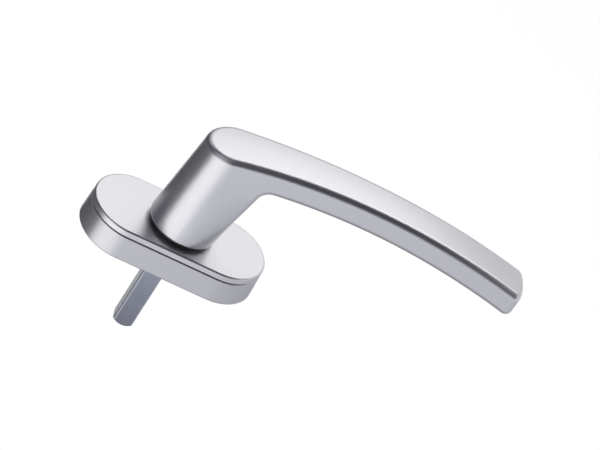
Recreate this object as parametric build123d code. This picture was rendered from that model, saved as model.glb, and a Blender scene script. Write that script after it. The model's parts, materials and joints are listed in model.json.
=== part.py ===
from build123d import *
import os
from math import cos, hypot, radians, sin, sqrt, tan

# Window handle for a tilt-and-turn window: a stadium-shaped rosette, a bowed lever on a round neck and a
# square spindle. Millimetres. The origin is the middle of the rosette's back face, on the spindle's axis:
# +Z runs along the spindle into the room, +X along the closed lever.

# Rosette
rosette_length = 65.0
rosette_width = 31.4
rosette_draft_deg = 3.0
base_height = 9.4
base_wall = 2.2
base_web = 3.3
base_top_edge = 0.4
base_rim_edge = 0.6
seam_gap = 0.35
seam_chamfer = 0.15
cover_thickness = 2.4
cover_edge_radius = 0.7

# Fixing screws, M5 countersunk, and the support lugs that they pass through
screw_spacing = 43.0
screw_hole_radius = 2.65
countersink_radius = 4.9
screw_boss_radius = 5.5
lug_radius = 5.0
lug_length = 5.0
lug_chamfer = 0.6

# Lever: the grip is an arch of constant thickness, the neck grows out of a round foot
grip_reach = 111.4
grip_thickness = 9.9
grip_width = 16.0
grip_draft_deg = 1.0
grip_arch_radius = 263.0
grip_arch_x = 50.4
grip_arch_height = 57.35
grip_crown_radius = 120.0
grip_parallel_x = 75.0
grip_end_radius = 24.0
grip_corner_radius = 2.8
grip_top_edge = 2.4
grip_under_edge = 2.2
neck_gap = 1.45
neck_foot_radius = 12.4
neck_foot_edge = 0.8
neck_top_radius = 10.1
neck_top_lean = 1.6
neck_flare = 0.095
neck_inner_radius = 4.5

# Drive sleeve: a stem pressed into the neck, the journal below it and the drive end
sleeve_stem_radius = 7.0
journal_radius = 8.0
drive_radius = 6.5
drive_flats = 11.0
drive_end = 0.2
drive_chamfer = 0.4
ring_groove_depth = 0.6

# Spindle and its cross pin
spindle_size = 7.0
spindle_reach = 35.0
spindle_grip = 21.5
spindle_edge = 0.8
spindle_end_round = 3.2
pin_radius = 1.5
pin_height = 10.0
pin_short = 0.3

# Guide bush and the ring that the cover plate turns on
bush_wall = 1.5
bush_flange_radius = 11.2
bush_flange_play = 0.1
glide_width = 4.3
glide_height = 1.15

# Detent: square cam between two leaf springs, and what holds it on the lever
thrust_washer_thickness = 0.6
thrust_washer_radius = 11.0
cam_corner_rise = 1.1
cam_thickness = 2.8
disc_spring_height = 0.8
disc_spring_sheet = 0.5
disc_spring_width = 2.9
ring_thickness = 1.0
ring_width = 2.0
ring_gap_deg = 50.0
ring_ear_radius = 1.3
ring_ear_hole = 0.6
spring_sheet = 0.6
spring_height = 2.6
spring_hook = 2.2
spring_bend = 0.9
spring_room = 4.0
rib_thickness = 2.4
rib_room = 2.4
rib_depth = 5.2

# Clearances
running_play = 0.05
slip_play = 0.1
press_play = 0.02
cover_play = 0.4

# Heights and places worked out from the sizes above
cover_bottom = base_height + seam_gap
cover_top = cover_bottom + cover_thickness
neck_foot = cover_top + neck_gap
flange_bottom = cover_top + bush_flange_play
flange_top = neck_foot - bush_flange_play
web_bottom = base_height - base_web
washer_top = web_bottom - running_play
cam_top = washer_top - thrust_washer_thickness
cam_bottom = cam_top - cam_thickness
disc_bottom = cam_bottom - disc_spring_height
ring_bottom = disc_bottom - ring_thickness
bush_radius = journal_radius + bush_wall
cam_flats = rosette_width - 2 * (base_wall + spring_room)
cam_corner_radius = cam_flats / 2 + cam_corner_rise
disc_spring_radius = drive_radius + disc_spring_width
screw_x = screw_spacing / 2
end_x = (rosette_length - rosette_width) / 2

# Circle that the grip's top face follows, and its underside at the grip's thickness below it
arch_centre_z = grip_arch_height - grip_arch_radius
under_radius = grip_arch_radius - grip_thickness


def disc(radius, bottom, top):
    """An upright round bar between two heights."""
    return Pos(0, 0, bottom) * extrude(Circle(radius), top - bottom)


def slab(outline, bottom, top):
    """A flat outline carried up from one height to another."""
    return Pos(0, 0, bottom) * extrude(outline, top - bottom)


def arch_z(radius, x):
    """Height of a circle about the arch's centre, at a place along the grip."""
    return arch_centre_z + sqrt(radius**2 - (x - grip_arch_x) ** 2)


def stadium(inset=0.0):
    """The rosette's outline at its back face, with its edge moved inwards."""
    return SlotCenterToCenter(2 * end_x, rosette_width - 2 * inset)


def rosette_slab(bottom, top):
    """The rosette's whole outline between two heights, drawn in by its draft."""
    outline = stadium(tan(radians(rosette_draft_deg)) * bottom)
    return Pos(0, 0, bottom) * extrude(outline, top - bottom, taper=rosette_draft_deg)


def both_screws(shape):
    """The shape at both screw positions."""
    return [Pos(side * screw_x, 0, 0) * shape for side in (-1, 1)]


# Lever


def plan_outline(z):
    """Outline of the lever seen from above at one height: round neck end, waist and arched tip."""
    shoulder = arch_z(grip_arch_radius, 0)
    rise = (z - neck_foot) / (shoulder - neck_foot)
    centre = neck_top_lean * rise
    radius = neck_foot_radius + (neck_top_radius - neck_foot_radius) * rise
    half = grip_width / 2 + tan(radians(grip_draft_deg)) * (shoulder - z)
    # The side is an arc that leaves the round end without a kink and ends parallel to the grip's axis
    run = grip_parallel_x - centre
    waist = (run**2 + half**2 - radius**2) / (2 * (radius - half))
    scale = radius / (radius + waist)
    leave = Vector(centre + run * scale, (half + waist) * scale)
    along = (half + waist - leave.Y) / waist
    aside = (grip_parallel_x - leave.X) / waist
    halfway = Vector(along + 1, aside).normalized()
    middle = Vector(grip_parallel_x - waist * halfway.Y, half + waist - waist * halfway.X)
    parallel = Vector(grip_parallel_x, half)
    corner = Vector(grip_reach - grip_end_radius + sqrt(grip_end_radius**2 - half**2), half)
    side = [ThreePointArc(leave, middle, parallel), Line(parallel, corner)]
    round_end = ThreePointArc(leave, (centre - radius, 0), (leave.X, -leave.Y))
    tip = ThreePointArc(corner, (grip_reach, 0), (corner.X, -corner.Y))
    outline = make_face([round_end, tip] + side + [mirror(e, Plane.XZ) for e in side])
    corners = outline.vertices().sort_by(Axis.X)[-2:]
    return Pos(0, 0, z) * fillet(corners, grip_corner_radius)


def bend():
    """Centre of the inside bend, and where it leaves the neck and meets the grip's underside."""
    slope = hypot(1, neck_flare)
    start = neck_foot_radius - neck_flare * neck_foot + neck_inner_radius * slope - grip_arch_x
    a = slope**2
    b = start * neck_flare - arch_centre_z
    c = start**2 + arch_centre_z**2 - (under_radius - neck_inner_radius) ** 2
    z = (-b + sqrt(b**2 - a * c)) / a
    centre = Vector(start + grip_arch_x + neck_flare * z, z)
    low = centre - Vector(1, -neck_flare).normalized() * neck_inner_radius
    hub = Vector(grip_arch_x, arch_centre_z)
    high = hub + (centre - hub).normalized() * under_radius
    return centre, low, high


def grip():
    """The grip and the top of the neck, down to the height where the inside bend begins."""
    centre, low, high = bend()
    back = -2 * neck_foot_radius
    past = grip_reach + grip_thickness
    middle = (back + past) / 2
    turn = centre + (low + high - centre * 2).normalized() * neck_inner_radius
    under_past = Vector(past, arch_z(under_radius, past))
    top_past = Vector(past, arch_z(grip_arch_radius, past))
    top_back = Vector(back, arch_z(grip_arch_radius, back))
    profile = make_face(
        [
            Line((back, low.Y), low),
            ThreePointArc(low, turn, high),
            ThreePointArc(high, (middle, arch_z(under_radius, middle)), under_past),
            Line(under_past, top_past),
            ThreePointArc(top_past, (middle, arch_z(grip_arch_radius, middle)), top_back),
            Line(top_back, (back, low.Y)),
        ]
    )
    side_view = extrude(Plane.XZ * profile, 2 * neck_foot_radius, both=True)
    lowest = arch_z(under_radius, past)
    plan_view = loft([plan_outline(lowest), plan_outline(grip_arch_height + grip_thickness)], ruled=True)
    body = side_view & plan_view & under_crown()
    under = curved_faces(body, under_radius) + curved_faces(body, neck_inner_radius)
    rims = [e for f in under for e in f.edges() if not is_across(e)]
    body = fillet(rims, grip_under_edge)
    top = body.faces().filter_by(GeomType.TORUS).sort_by(Axis.Z)[-1]
    return fillet(top.edges(), grip_top_edge)


def under_crown():
    """All that lies under the grip's crowned top: an arc across the grip, carried round the arch's centre."""
    half = 2 * neck_foot_radius
    side = arch_centre_z + grip_arch_radius - grip_crown_radius + sqrt(grip_crown_radius**2 - half**2)
    deep = arch_centre_z + grip_arch_radius / 2
    section = make_face(
        [
            ThreePointArc((-half, side), (0, grip_arch_height), (half, side)),
            Polyline((half, side), (half, deep), (-half, deep), (-half, side)),
        ]
    )
    across = Plane((grip_arch_x, 0, 0), x_dir=(0, 1, 0), z_dir=(1, 0, 0))
    return revolve(across * section, Axis((grip_arch_x, 0, arch_centre_z), (0, 1, 0)))


def curved_faces(body, radius):
    """Faces of a body that are part of a round bar of this radius, lying across the grip."""
    bars = body.faces().filter_by(GeomType.CYLINDER)
    return [f for f in bars if abs(f.radius - radius) < 0.001]


def is_across(edge):
    """Does a straight edge run across the grip?"""
    return edge.geom_type == GeomType.LINE and abs((edge % 0).Y) > 0.999


def neck(top):
    """The neck, from its round foot up to the face that it joins."""
    foot = Pos(0, 0, neck_foot) * Circle(neck_foot_radius)
    body = loft([foot, top], ruled=True)
    return fillet(body.faces().sort_by(Axis.Z)[0].edges(), neck_foot_edge)


def drive_section(play=0.0):
    """Section of the sleeve's drive end: round with two flats, grown by a play where something slips over it."""
    return Circle(drive_radius + play) & Rectangle(2 * (drive_radius + play), drive_flats + 2 * play)


def lever():
    """Grip and neck in one casting, with a socket for the drive sleeve."""
    body = grip()
    joint = body.faces().filter_by(Plane.XY).sort_by(Axis.Z)[0]
    body += neck(joint)
    return body - disc(sleeve_stem_radius + press_play, neck_foot, spindle_grip + running_play)


def drive_sleeve():
    """Stem, journal and drive end in one piece, with the spindle's square hole and the cross pin's hole."""
    body = disc(sleeve_stem_radius, neck_foot, spindle_grip)
    body += disc(journal_radius - running_play, web_bottom, neck_foot)
    end = slab(drive_section(), drive_end, web_bottom)
    body += chamfer(end.faces().sort_by(Axis.Z)[0].edges(), drive_chamfer)
    groove = disc(2 * drive_radius, ring_bottom - running_play, disc_bottom + running_play)
    body -= groove - disc(drive_radius - ring_groove_depth, 0, web_bottom)
    socket = Rectangle(spindle_size + 2 * running_play, spindle_size + 2 * running_play)
    body -= slab(socket, 0, spindle_grip)
    return body - cross_pin(pin_radius + press_play, 2 * journal_radius)


# Spindle


def cross_pin(radius, length):
    """A round bar across the spindle at the pin's height."""
    return Pos(0, 0, pin_height) * Rot(90, 0, 0) * Cylinder(radius, length)


def spindle():
    """Square bar with softened edges, its outer end turned round on a lathe, drilled for the cross pin."""
    bar = slab(RectangleRounded(spindle_size, spindle_size, spindle_edge), -spindle_reach, spindle_grip)
    turned = disc(spindle_size / sqrt(2), -spindle_reach, spindle_grip)
    bar &= fillet(turned.faces().sort_by(Axis.Z)[0].edges(), spindle_end_round)
    return bar - cross_pin(pin_radius + press_play, 2 * journal_radius)


def spindle_pin():
    """Cross pin, a little shorter than the journal is wide."""
    pin = cross_pin(pin_radius, 2 * (journal_radius - running_play - pin_short))
    return chamfer(pin.edges().filter_by(GeomType.CIRCLE), pin_short)


# Detent on the lever


def thrust_washer():
    ring = disc(thrust_washer_radius, cam_top, washer_top)
    return ring - disc(drive_radius + slip_play, cam_top, washer_top)


def detent_cam():
    """Square with rounded corners: a leaf spring lies on each flat and is lifted by each corner."""
    outline = Rectangle(cam_flats, cam_flats) & Circle(cam_corner_radius)
    return slab(outline - drive_section(running_play), cam_bottom, cam_top)


def disc_spring():
    """Shallow cone of sheet, its rim up against the cam and its inner edge down on the retaining ring."""
    inner = drive_radius + slip_play
    section = Polyline(
        (inner, disc_bottom),
        (disc_spring_radius, cam_bottom - disc_spring_sheet),
        (disc_spring_radius, cam_bottom),
        (inner, disc_bottom + disc_spring_sheet),
        close=True,
    )
    return revolve(Plane.XZ * make_face(section), Axis.Z)


def retaining_ring():
    """Open ring in the sleeve's groove, with a drilled ear at each end for the pliers."""
    inner = drive_radius - ring_groove_depth + running_play
    middle = inner + ring_width / 2
    wedge = 2 * inner * tan(radians(ring_gap_deg / 2))
    gap = Polyline((0, 0), (2 * inner, wedge), (2 * inner, -wedge), close=True)
    outline = Circle(inner + ring_width) - Circle(inner) - make_face(gap)
    ears = []
    for side in (-1, 1):
        turn = radians(side * ring_gap_deg / 2)
        ears.append(Pos(middle * cos(turn), middle * sin(turn)))
    for ear in ears:
        outline += ear * Circle(ring_ear_radius) - Circle(inner)
    for ear in ears:
        outline -= ear * Circle(ring_ear_hole)
    return slab(outline, ring_bottom, disc_bottom)


# Rosette

spring_inside = cam_flats / 2 + press_play
rib_inside = cam_corner_radius + rib_room
rib_outside = rib_inside + rib_thickness


def detent_spring(side):
    """Leaf spring along a flat of the cam, hooked behind a rib of the base at each end."""
    middle = spring_inside + spring_sheet / 2
    hook = rib_outside + slip_play + spring_bend
    line = FilletPolyline(
        (-hook, middle + spring_hook),
        (-hook, middle),
        (hook, middle),
        (hook, middle + spring_hook),
        radius=spring_bend,
    )
    leaf = slab(trace(line, spring_sheet), cam_top - spring_height, cam_top)
    return leaf if side > 0 else mirror(leaf, Plane.XZ)


def rosette_base():
    """Open-backed casting: wall, web, screw bosses with their lugs, and ribs that hold the leaf springs."""
    shell = rosette_slab(0, base_height)
    shell = fillet(shell.faces().sort_by(Axis.Z)[-1].edges(), base_top_edge)
    shell = fillet(shell.faces().sort_by(Axis.Z)[0].edges(), base_rim_edge)
    shell -= slab(stadium(base_wall), 0, web_bottom)
    rib = Pos(rib_inside + rib_thickness / 2, 0, web_bottom - rib_depth / 2) * Box(
        rib_thickness, rosette_width - base_wall, rib_depth
    )
    shell += [rib, mirror(rib, Plane.YZ)]
    lug = disc(lug_radius, -lug_length, 0)
    lug = chamfer(lug.faces().sort_by(Axis.Z)[0].edges(), lug_chamfer)
    shell += both_screws(disc(screw_boss_radius, 0, web_bottom) + lug)
    sink = countersink_radius - screw_hole_radius
    hole = disc(screw_hole_radius, -lug_length, base_height)
    hole += Pos(0, 0, base_height - sink / 2) * Cone(screw_hole_radius, countersink_radius, sink)
    shell -= both_screws(hole)
    shell -= disc(bush_radius + press_play, web_bottom, base_height)
    slot = Pos(0, spring_inside + spring_sheet / 2) * Rectangle(
        2 * (rib_outside + slip_play), spring_sheet + 2 * slip_play
    )
    slot = slab(slot, 0, cam_top + slip_play)
    return shell - [slot, mirror(slot, Plane.XZ)]


def guide_bush():
    """Flanged bush, pressed into the base: it carries the lever and holds the cover plate down."""
    bush = disc(bush_radius, web_bottom, flange_top) + disc(bush_flange_radius, flange_bottom, flange_top)
    return bush - disc(journal_radius, web_bottom, flange_top)


def cover_plate():
    """Plate over the screws, with a recess underneath for the ring that it turns on."""
    plate = rosette_slab(cover_bottom, cover_top)
    plate = chamfer(plate.faces().sort_by(Axis.Z)[0].edges(), seam_chamfer)
    plate = fillet(plate.faces().sort_by(Axis.Z)[-1].edges(), cover_edge_radius)
    plate -= disc(bush_radius + cover_play, cover_bottom, cover_top)
    return plate - disc(bush_radius + slip_play + glide_width, cover_bottom, base_height + glide_height)


def cover_glide_ring():
    """Plastic ring under the cover plate, which centres it on the bush and keeps it off the base."""
    bottom = base_height + running_play
    top = base_height + glide_height
    ring = disc(bush_radius + glide_width, bottom, top)
    return ring - disc(bush_radius + slip_play, bottom, top)


nodes = {
    "lever": lever(),
    "drive_sleeve": drive_sleeve(),
    "spindle": spindle(),
    "spindle_pin": spindle_pin(),
    "thrust_washer": thrust_washer(),
    "detent_cam": detent_cam(),
    "disc_spring": disc_spring(),
    "retaining_ring": retaining_ring(),
    "rosette_base": rosette_base(),
    "guide_bush": guide_bush(),
    "detent_spring_front": detent_spring(-1),
    "detent_spring_rear": detent_spring(1),
    "cover_plate": cover_plate(),
    "cover_glide_ring": cover_glide_ring(),
}

os.makedirs("parts", exist_ok=True)
for name, shape in nodes.items():
    export_step(shape, f"parts/{name}.step")
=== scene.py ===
# %% [markdown]
# # A window handle in satin aluminium
#
# The real thing is a tilt-and-turn window handle: a bowed lever on a round neck, a rosette with a cover plate
# that turns aside from its two screws, and a square steel spindle that works the window's gear. The CAD model
# gives every piece its true size and place. This lesson adds what a photograph of the handle shows besides:
# the finish of each piece, and the light that a satin metal needs to look like metal.

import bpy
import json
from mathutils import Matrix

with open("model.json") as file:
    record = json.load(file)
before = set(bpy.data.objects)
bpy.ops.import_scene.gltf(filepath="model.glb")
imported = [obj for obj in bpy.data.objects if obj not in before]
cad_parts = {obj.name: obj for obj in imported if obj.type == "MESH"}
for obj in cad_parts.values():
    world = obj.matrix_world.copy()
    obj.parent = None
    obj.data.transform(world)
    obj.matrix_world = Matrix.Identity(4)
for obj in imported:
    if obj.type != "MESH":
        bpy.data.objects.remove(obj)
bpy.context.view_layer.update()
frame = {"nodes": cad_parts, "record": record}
print("nodes:", sorted(frame["nodes"]))

# %% [markdown]
# ## Camera
#
# A camera can be placed by a point and three Euler angles, but then nobody can see what it looks at. Here it
# is placed as a photographer thinks of it: what it aims at, from which side, how high, how far away, and how
# much it is rolled about its own line of sight. The long lens keeps the perspective as flat as in the photo.

# %% Camera
from math import cos, pi, radians, sin

import bpy
from mathutils import Quaternion, Vector

scene = bpy.context.scene
scene.view_settings.view_transform = "Standard"

view_aim = Vector((0.03553, 0.00492, 0.03))
view_azimuth = radians(-14.94)
view_elevation = radians(34.59)
view_roll = radians(33.81)
view_distance = 1.0116
lens_mm = 180.0
sensor_mm = 36.0


def from_side(azimuth, elevation):
    """
    Unit vector from the handle to a viewer: (sin a cos e, -cos a cos e, sin e).

    Azimuth 0 is the front, -Y, and 90 degrees is the tip's side, +X.
    """
    flat = cos(elevation)
    return Vector((sin(azimuth) * flat, -cos(azimuth) * flat, sin(elevation)))


to_camera = from_side(view_azimuth, view_elevation)
turn = to_camera.to_track_quat("Z", "Y") @ Quaternion((0, 0, 1), view_roll)
camera_data = bpy.data.cameras.new("camera")
camera_data.lens = lens_mm
camera_data.sensor_width = sensor_mm
camera = bpy.data.objects.new("camera", camera_data)
camera.location = view_aim + to_camera * view_distance
camera.rotation_euler = turn.to_euler()
scene.collection.objects.link(camera)
scene.camera = camera
print("camera stands at", tuple(camera.location))

# %% [markdown]
# ## Floor
#
# The photo has a plain white ground. A floor could be lit until it turns white, but then the handle would be
# lit as hard. So the floor is white paint under a soft lamp, and a small glow of its own, which only the camera
# and reflections see, lifts it the last step to white. The handle's soft shadow stays on it.

# %% Floor
import numpy as np

floor_height = -0.45
floor_half = 6.0
floor_points = 5


def grid_mesh(name, points):
    """
    Mesh of a surface given as a grid of points, rows by columns.

    Each square of the grid becomes a face, and its place in the grid, from 0 to 1 both ways, becomes its UV.
    """
    rows, columns = points.shape[:2]
    at = np.arange(rows * columns).reshape(rows, columns)
    faces = np.stack([at[:-1, :-1], at[:-1, 1:], at[1:, 1:], at[1:, :-1]], axis=-1).reshape(-1, 4)
    mesh = bpy.data.meshes.new(name)
    mesh.from_pydata(points.reshape(-1, 3).tolist(), [], faces.tolist())
    along, across = np.meshgrid(np.linspace(0, 1, columns), np.linspace(0, 1, rows))
    places = np.stack([along, across], axis=-1).reshape(-1, 2)[faces.ravel()]
    mesh.uv_layers.new(name="UVMap").data.foreach_set("uv", places.astype(np.float32).ravel())
    return mesh


def stage_piece(name, points):
    """A surface that belongs to the studio and not to the handle."""
    made = bpy.data.objects.new(name, grid_mesh(name, points))
    scene.collection.objects.link(made)
    return made


def level_grid(half, height):
    """A level square about the Z axis: x and y run evenly from -half to half, and z is the height."""
    run = np.linspace(-half, half, floor_points)
    x, y = np.meshgrid(run, run)
    return np.stack([x, y, np.full_like(x, height)], axis=-1)


floor = stage_piece("floor", level_grid(floor_half, floor_height))
print("floor at", floor_height, "m,", 2 * floor_half, "m square")

# %% Floor paint
floor_white = (0.9, 0.9, 0.89)
floor_roughness = 0.9
floor_glow = 0.34


def principled(name):
    """A new material, with its tree and its Principled shader."""
    made = bpy.data.materials.new(name)
    made.use_nodes = True
    return made, made.node_tree, made.node_tree.nodes["Principled BSDF"]


def opaque(colour):
    """A colour with full alpha, as a colour socket wants it."""
    return (*colour, 1.0)


def fill(tree, node, values):
    """Give a node's inputs, by name or place, what other nodes put out, or else plain values."""
    for key, value in values.items():
        if isinstance(value, bpy.types.NodeSocket):
            tree.links.new(value, node.inputs[key])
        else:
            node.inputs[key].default_value = value


def reckon(tree, operation, *values):
    """What a Math node makes of one or two values."""
    node = tree.nodes.new("ShaderNodeMath")
    node.operation = operation
    fill(tree, node, dict(enumerate(values)))
    return node.outputs[0]


def floor_paint():
    """Matt white, topped up where the camera or a reflection looks at it, so that it reads as plain white."""
    made, tree, shader = principled("floor_paint")
    path = tree.nodes.new("ShaderNodeLightPath").outputs
    seen = reckon(tree, "MAXIMUM", path["Is Camera Ray"], path["Is Glossy Ray"])
    seen = reckon(tree, "MAXIMUM", seen, path["Is Transmission Ray"])
    fill(tree, shader, {
        "Base Color": opaque(floor_white),
        "Roughness": floor_roughness,
        "Specular IOR Level": 0.0,
        "Emission Color": opaque((1.0, 1.0, 1.0)),
        "Emission Strength": reckon(tree, "MULTIPLY", seen, floor_glow),
    })
    return made


floor.data.materials.append(floor_paint())
print("floor wears", floor.data.materials[0].name, "and glows by", floor_glow)

# %% [markdown]
# ## Lamp and cards
#
# Metal has no colour of its own to speak of: it shows what stands round it. A photographer of metal therefore
# builds the reflections first. Here the light top faces see a bright panel behind and above the handle, the
# dark line along the lever's edge sees the dark, bluish room behind the camera, the dark stripe down the neck
# sees a black flag on the left, and the fronts see grey and white card on the floor. Two cards that fade upwards
# on the right let the lever's dark line die away towards the tip. The dim end of the panel lightens the neck's
# foot by way of the cover plate, and a grey card behind draws the thin line along the far edges. Each card glows
# by itself, evenly or from one brightness at each corner to the next, and only reflections see it. One soft lamp
# lights the floor.

# %% World and lamp
middle = Vector((0.03, 0.0, 0.03))
room_grey = (0.6, 0.6, 0.62)
lamp_height = 1.6
lamp_width = 1.6
lamp_radiance = 1.15

world = bpy.data.worlds.new("studio")
world.use_nodes = True
world.node_tree.nodes["Background"].inputs["Color"].default_value = opaque(room_grey)
scene.world = world


def soft_lamp(name, height, width, radiance):
    """A square lamp over the handle that faces down: its power is its radiance times its area times pi."""
    data = bpy.data.lights.new(name, "AREA")
    data.size = width
    data.energy = radiance * width * width * pi
    made = bpy.data.objects.new(name, data)
    made.location = (middle.x, middle.y, height)
    made.visible_camera = False
    made.visible_glossy = False
    scene.collection.objects.link(made)
    return made


lamp = soft_lamp("ceiling_lamp", lamp_height, lamp_width, lamp_radiance)
print("ceiling lamp", round(lamp.data.energy, 2), "W")

# %% Cards
card_columns = 25
card_rows = 17
white = (1.0, 1.0, 1.0)
cool = (1.0, 1.0, 1.08)
dusk = (1.0, 1.0, 1.45)


def dome_grid(azimuths, elevations, radius):
    """
    Part of a sphere about the handle, seen from inside.

    Columns run over the azimuth and rows over the elevation, in degrees. A point is the middle plus the radius
    times the direction (sin a cos e, -cos a cos e, sin e).
    """
    turns = np.radians(np.linspace(*azimuths, card_columns))
    lifts = np.radians(np.linspace(*elevations, card_rows))
    turn, lift = np.meshgrid(turns, lifts)
    away = np.stack([np.sin(turn) * np.cos(lift), -np.cos(turn) * np.cos(lift), np.sin(lift)], axis=-1)
    return np.array(middle) + radius * away


def mixed(tree, factor, first, second, kind="RGBA"):
    """What lies between two colours, or between two numbers if the kind is FLOAT, by a factor."""
    mix = tree.nodes.new("ShaderNodeMix")
    mix.data_type = kind
    fill(tree, mix, {"Factor": factor, "A": first, "B": second})
    return mix.outputs["Result"]


def across_corners(tree, colours):
    """The four colours of a grid's corners, in UV order, mixed across it."""
    axes = tree.nodes.new("ShaderNodeSeparateXYZ")
    fill(tree, axes, {0: tree.nodes.new("ShaderNodeUVMap").outputs["UV"]})
    low = mixed(tree, axes.outputs["X"], colours[0], colours[1])
    high = mixed(tree, axes.outputs["X"], colours[2], colours[3])
    return mixed(tree, axes.outputs["Y"], low, high)


def card(name, points, brightness, tint=white):
    """A card that only reflections see, with one brightness all over or one for each corner."""
    made = stage_piece(name, points)
    paint, tree, shader = principled(name)
    colours = [opaque(level * part for part in tint) for level in brightness]
    fill(tree, shader, {
        "Base Color": opaque((0.0, 0.0, 0.0)),
        "Specular IOR Level": 0.0,
        "Emission Color": colours[0] if len(colours) == 1 else across_corners(tree, colours),
        "Emission Strength": 1.0,
    })
    made.data.materials.append(paint)
    made.visible_camera = False
    made.visible_diffuse = False
    made.visible_shadow = False
    made.visible_transmission = False
    return made


# Radii of the domes in metres: of two cards that overlap, the one on the smaller dome hides the other
far = 1.3
far_inside = 1.25
near_outside = 0.52
near = 0.5
near_inside = 0.47
print("cards stand from", near_inside, "to", far, "m away, with", card_rows, "by", card_columns, "points")

# %% Cards above the handle: bright panels behind it, the dark room in front, a paler ceiling on the left
above = [
    card("back_panel", dome_grid((152, 215), (29.5, 66), far), (1.07, 1.07, 1.56, 1.56)),
    card("side_panel", dome_grid((120, 152), (37, 66), far), (1.0, 1.15, 1.5, 1.56)),
    card("panel_end", dome_grid((215, 246), (22, 50), far_inside), (0.9, 0.1, 0.9, 0.1)),
    card("dark_ceiling", dome_grid((0, 360), (68, 90), far), (0.05,), cool),
    card("pale_ceiling", dome_grid((190, 280), (70, 84), far_inside), (0.5, 0.35, 0.3, 0.2)),
    card("dark_room_high", dome_grid((208, 465), (50, 69), far), (0.085, 0.005, 0.085, 0.005), dusk),
    card("dark_room_mid", dome_grid((208, 424), (26, 50), far), (0.085, 0.035, 0.085, 0.01), dusk),
    card("dark_room_low", dome_grid((208, 412), (-2, 26), far), (0.07, 0.06, 0.07, 0.045), dusk),
]
print("cards above:", [made.name for made in above])

# %% Cards near the handle: a flag and a pale wall on the left, white beside them, then grey all round
nearby = [
    card("left_flag", dome_grid((202, 290), (-62, -1), near), (0.1, 0.18, 0.05, 0.14), cool),
    card("bright_card", dome_grid((300, 346), (-62, -4), near), (1.14, 1.12, 1.18, 1.16)),
    card("bright_card_top", dome_grid((303, 346), (-4, 24), near), (1.1, 0.7, 0.5, 0.2)),
    card("pale_wall", dome_grid((282, 346), (24, 62), near), (0.55, 0.16, 0.5, 0.14), cool),
    card("front_card", dome_grid((346, 373), (-62, -12), near), (0.7, 0.46, 1.0, 0.7), cool),
    card("right_card", dome_grid((373, 520), (-62, -12), near), (0.46, 0.28, 0.7, 0.5), cool),
    card("under_card", dome_grid((0, 360), (-90, -48), near_inside), (0.12, 0.12, 0.42, 0.42), cool),
    card("front_fade", dome_grid((368, 404), (-12, 20), near), (0.72, 0.75, 0.05, 0.12), cool),
    card("tip_fade", dome_grid((404, 430), (10, 44), near), (0.12, 0.8, 0.03, 0.2), cool),
    card("far_card", dome_grid((154, 206), (-18, 8), near_outside), (0.2,), cool),
]
print("cards near the handle:", [made.name for made in nearby])

# %% [markdown]
# ## Fine grain
#
# The lever, the cover plate and the rosette are blasted with fine beads and anodised, which leaves an even satin
# with no direction. The grain could be modelled only with millions of faces, so it is a bump made from noise at
# the size of the dents, with a broader noise that shifts the tone a little, as on every real surface. Pressed
# iron and moulded plastic have such a grain too, so it is a node group: built once, placed with its own values.

# %% Fine grain
grain_layers = 2.0
grain_tone_layers = 3.0
grain_tone_scale = 0.06


def new_group(name):
    """An empty group and its two ends: a Vector and Marks per m come in, and Height and Tone go out."""
    group = bpy.data.node_groups.new(name, "ShaderNodeTree")
    group.interface.new_socket(name="Vector", in_out="INPUT", socket_type="NodeSocketVector")
    group.interface.new_socket(name="Marks per m", in_out="INPUT", socket_type="NodeSocketFloat")
    for socket in ("Height", "Tone"):
        group.interface.new_socket(name=socket, in_out="OUTPUT", socket_type="NodeSocketFloat")
    return group, group.nodes.new("NodeGroupInput").outputs, group.nodes.new("NodeGroupOutput")


def noise(tree, place, scale, layers):
    """Noise at a place, with so many spots per metre and so many finer layers."""
    node = tree.nodes.new("ShaderNodeTexNoise")
    fill(tree, node, {"Vector": place, "Scale": scale, "Detail": layers})
    return node.outputs["Fac"]


def fine_grain_group():
    """Height is noise at the grain's own size, and Tone is noise about seventeen times as broad."""
    group, given, result = new_group("fine_grain")
    broad = reckon(group, "MULTIPLY", given["Marks per m"], grain_tone_scale)
    fill(group, result, {
        "Height": noise(group, given["Vector"], given["Marks per m"], grain_layers),
        "Tone": noise(group, given["Vector"], broad, grain_tone_layers),
    })
    return group


fine_grain = fine_grain_group()
print("group", fine_grain.name, "has", len(fine_grain.nodes), "nodes")

# %% [markdown]
# ## Drawn lines
#
# The spindle is cut from a bar that was pulled through a die, and the springs from rolled strip. Both keep fine
# lines along the way they were drawn. A brushed look could come from an anisotropic shader, but the export
# keeps no such shader, so the lines are noise stretched a hundredfold along one axis. The group's lines run
# along Z, as on the spindle, and a Mapping node turns them where another piece needs it.

# %% Drawn lines
line_layers = 2.0
line_tone_scale = 0.25
line_shrink = (1.0, 1.0, 0.01)


def drawn_lines_group():
    """Height and Tone are noise in which Z is shrunk to a hundredth, so that a spot becomes a line along Z."""
    group, given, result = new_group("drawn_lines")
    shrink = group.nodes.new("ShaderNodeVectorMath")
    shrink.operation = "MULTIPLY"
    fill(group, shrink, {0: given["Vector"], 1: line_shrink})
    broad = reckon(group, "MULTIPLY", given["Marks per m"], line_tone_scale)
    fill(group, result, {
        "Height": noise(group, shrink.outputs[0], given["Marks per m"], line_layers),
        "Tone": noise(group, shrink.outputs[0], broad, line_layers),
    })
    return group


drawn_lines = drawn_lines_group()
print("group", drawn_lines.name, "has", len(drawn_lines.nodes), "nodes")

# %% [markdown]
# ## Satin aluminium
#
# Anodised aluminium in its natural colour is a light, very slightly cool grey. What makes it satin is its
# roughness: low enough that the panel's edge shows as a soft line, high enough that nothing is mirrored. The
# rosette's casting is blasted a little coarser than the lever and the cover plate, so it has its own grain and
# gloss. Its colour is also a little darker, which is painted shade on the rosette's walls.
# One group gives a finish its bumps, its tone and its gloss, and the other plain finishes are made the same way.

# %% Satin aluminium
unturned = (0.0, 0.0, 0.0)


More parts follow.
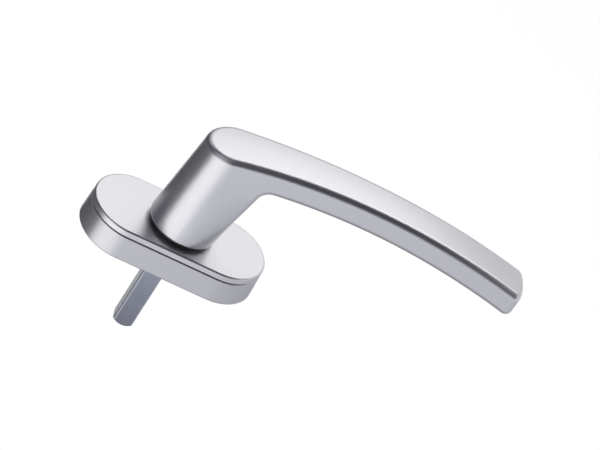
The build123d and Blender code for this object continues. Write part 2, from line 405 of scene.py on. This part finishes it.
def place_group(tree, group, density, turned=unturned):
    """What a group puts out in a material, fed with Object coordinates that are turned if asked."""
    coordinates = tree.nodes.new("ShaderNodeTexCoord")
    mapping = tree.nodes.new("ShaderNodeMapping")
    made = tree.nodes.new("ShaderNodeGroup")
    made.node_tree = group
    fill(tree, mapping, {"Vector": coordinates.outputs["Object"], "Rotation": turned})
    fill(tree, made, {"Vector": mapping.outputs["Vector"], "Marks per m": density})
    return made.outputs


def bumps(tree, height, depth):
    """The normal of bumps of a depth in metres."""
    node = tree.nodes.new("ShaderNodeBump")
    fill(tree, node, {"Height": height, "Distance": depth})
    return node.outputs["Normal"]


def carried(tree, value, given=(0.0, 1.0), wanted=(0.0, 1.0)):
    """A value carried in proportion from a given span to a wanted one, and held inside it."""
    node = tree.nodes.new("ShaderNodeMapRange")
    fill(tree, node, {"Value": value, "From Min": given[0], "From Max": given[1]})
    fill(tree, node, {"To Min": wanted[0], "To Max": wanted[1]})
    return node.outputs["Result"]


def grained(name, metallic, density, depth, shade, light, roughness, group=fine_grain, turned=unturned):
    """A finish whose bumps, tone and gloss all come from one group."""
    made, tree, shader = principled(name)
    pattern = place_group(tree, group, density, turned)
    fill(tree, shader, {
        "Metallic": metallic,
        "Base Color": mixed(tree, pattern["Tone"], opaque(shade), opaque(light)),
        "Roughness": carried(tree, pattern["Tone"], wanted=roughness),
        "Normal": bumps(tree, pattern["Height"], depth),
    })
    return made


finishes = {
    "satin_aluminium": grained(
        "satin_anodised", metallic=1.0, density=4000, depth=2e-6,
        shade=(0.77, 0.77, 0.795), light=(0.79, 0.79, 0.81), roughness=(0.31, 0.35),
    ),
    # The casting's colour, a little darker than the lever's, is painted shade on the rosette's walls
    "base_aluminium": grained(
        "satin_anodised_casting_painted_shade", metallic=1.0, density=3500, depth=2.5e-6,
        shade=(0.705, 0.705, 0.73), light=(0.735, 0.735, 0.756), roughness=(0.32, 0.37),
    ),
}
print("aluminium finishes:", [made.name for made in finishes.values()])

# %% [markdown]
# ## Blue zinc
#
# The spindle and its pin are steel with a thin coat of zinc, passivated to a cool blue grey. A plain grey metal
# would look like the lever, so the coat gets the bar's drawn lines under it, cloudy patches where it took
# differently, and a colour that is darker towards the outer end. Its long edges get a painted highlight: a
# lighter, rougher colour. The darkening is a ramp along Z in Object coordinates, so it stays on the bar when the
# lever turns.
# The edges could be found with a Bevel node, which looks round itself at every hit. On a square bar they are
# simply where |x| + |y| is largest, so that is what the mask reads.

# %% Painted edge highlight
edge_begins = 0.0062
edge_middle = 0.0065
patch_span = (0.3, 0.7)
least_edge_highlight = 0.6


def painted_edge_highlight(tree, axes, patches):
    """Mask of the painted highlight on the bar's long edges, from |x| + |y| in metres, weaker in some patches
    than in others.
    """
    across = reckon(tree, "ADD", *(reckon(tree, "ABSOLUTE", axes[axis]) for axis in "XY"))
    edge = carried(tree, across, given=(edge_begins, edge_middle))
    uneven = carried(tree, patches, given=patch_span, wanted=(least_edge_highlight, 1.0))
    return reckon(tree, "MULTIPLY", edge, uneven)


print("edges get a painted highlight where |x| + |y| is over", edge_begins, "m, and most from", edge_middle, "m")

# %% Blue zinc
zinc_shade = (0.38, 0.41, 0.47)
zinc_light = (0.46, 0.49, 0.545)
dark_shade = (0.24, 0.255, 0.3)
dark_light = (0.31, 0.325, 0.37)
# The lighter colour and the roughness of the painted highlight on the long edges
edge_highlight_colour = (0.6, 0.62, 0.66)
edge_highlight_roughness = 0.55
zinc_roughness = (0.22, 0.32)
# The colour is darker towards the outer end, between these two heights in Z
dark_end_z = (-0.036, -0.008)


def blue_zinc():
    """Drawn lines for the bumps, cloudy grain for the tone, a darker outer end along Z, and a painted highlight
    on the long edges.
    """
    made, tree, shader = principled("blue_zinc")
    lines = place_group(tree, drawn_lines, density=5000)
    clouds = place_group(tree, fine_grain, density=6000)
    axes = tree.nodes.new("ShaderNodeSeparateXYZ")
    fill(tree, axes, {0: tree.nodes.new("ShaderNodeTexCoord").outputs["Object"]})
    # Painted highlight on the bar's long edges
    edges = painted_edge_highlight(tree, axes.outputs, clouds["Tone"])
    plain = mixed(tree, clouds["Tone"], opaque(zinc_shade), opaque(zinc_light))
    dark = mixed(tree, clouds["Tone"], opaque(dark_shade), opaque(dark_light))
    coat = mixed(tree, carried(tree, axes.outputs["Z"], given=dark_end_z), dark, plain)
    gloss = carried(tree, lines["Tone"], wanted=zinc_roughness)
    fill(tree, shader, {
        "Metallic": 1.0,
        "Base Color": mixed(tree, edges, coat, opaque(edge_highlight_colour)),
        "Roughness": mixed(tree, edges, gloss, edge_highlight_roughness, kind="FLOAT"),
        "Normal": bumps(tree, lines["Height"], depth=1e-6),
    })
    return made


zinc = blue_zinc()
finishes["plated_steel"] = zinc
print("zinc finish:", zinc.name, "with", len(zinc.node_tree.nodes), "nodes")

# %% [markdown]
# ## Sintered iron and spring steel
#
# The cam and the drive sleeve are pressed from iron powder and baked: dull, dark and full of pores, so their
# grain is coarse and deep. The springs and the retaining ring are tempered strip with a film of oil: smooth,
# dark and shiny, with rolling lines along the strip. The lines are turned so that they run along X, as the
# leaves do.

# %% Sintered iron and spring steel
along_x = (0.0, pi / 2, 0.0)

finishes["sintered_steel"] = grained(
    "sintered_iron", metallic=1.0, density=2500, depth=8e-6,
    shade=(0.25, 0.25, 0.26), light=(0.34, 0.34, 0.35), roughness=(0.45, 0.6),
)
finishes["spring_steel"] = grained(
    "oiled_spring", metallic=1.0, density=5000, depth=1.5e-6,
    shade=(0.3, 0.31, 0.33), light=(0.4, 0.41, 0.43), roughness=(0.22, 0.34),
    group=drawn_lines, turned=along_x,
)
print("dark metals:", finishes["sintered_steel"].name, finishes["spring_steel"].name)

# %% [markdown]
# ## Plastics
#
# The bush and the ring under the cover plate are black plastic, and the thrust washer is left in its natural
# colour, a warm milky white. Both come out of a spark-eroded mould, whose fine pits they copy, so the same grain
# serves, this time on a plastic.

# %% Plastics
finishes["black_plastic"] = grained(
    "black_moulding", metallic=0.0, density=3000, depth=4e-6,
    shade=(0.016, 0.016, 0.018), light=(0.026, 0.026, 0.028), roughness=(0.4, 0.5),
)
finishes["pale_plastic"] = grained(
    "natural_moulding", metallic=0.0, density=2000, depth=3e-6,
    shade=(0.72, 0.7, 0.64), light=(0.77, 0.75, 0.69), roughness=(0.35, 0.45),
)
print("plastics:", finishes["black_plastic"].name, finishes["pale_plastic"].name)

# %% [markdown]
# ## Dressing the pieces
#
# The CAD pieces already have the true shapes, with smooth normals from the solids, so none is rebuilt here. Each
# takes the finish that its record names. Nothing is moved, so every piece stays on its joint.

# %% Dressing the pieces
for part in frame["record"]["subparts"]:
    mesh = frame["nodes"][part["node"]].data
    mesh.materials.clear()
    mesh.materials.append(finishes[part["material_slot"]])
    print(part["node"], "gets", mesh.materials[0].name, "on", len(mesh.polygons), "faces")

# %% [markdown]
# ## The end
#
# The picture must not change the part.

# %% The end of the script
import json
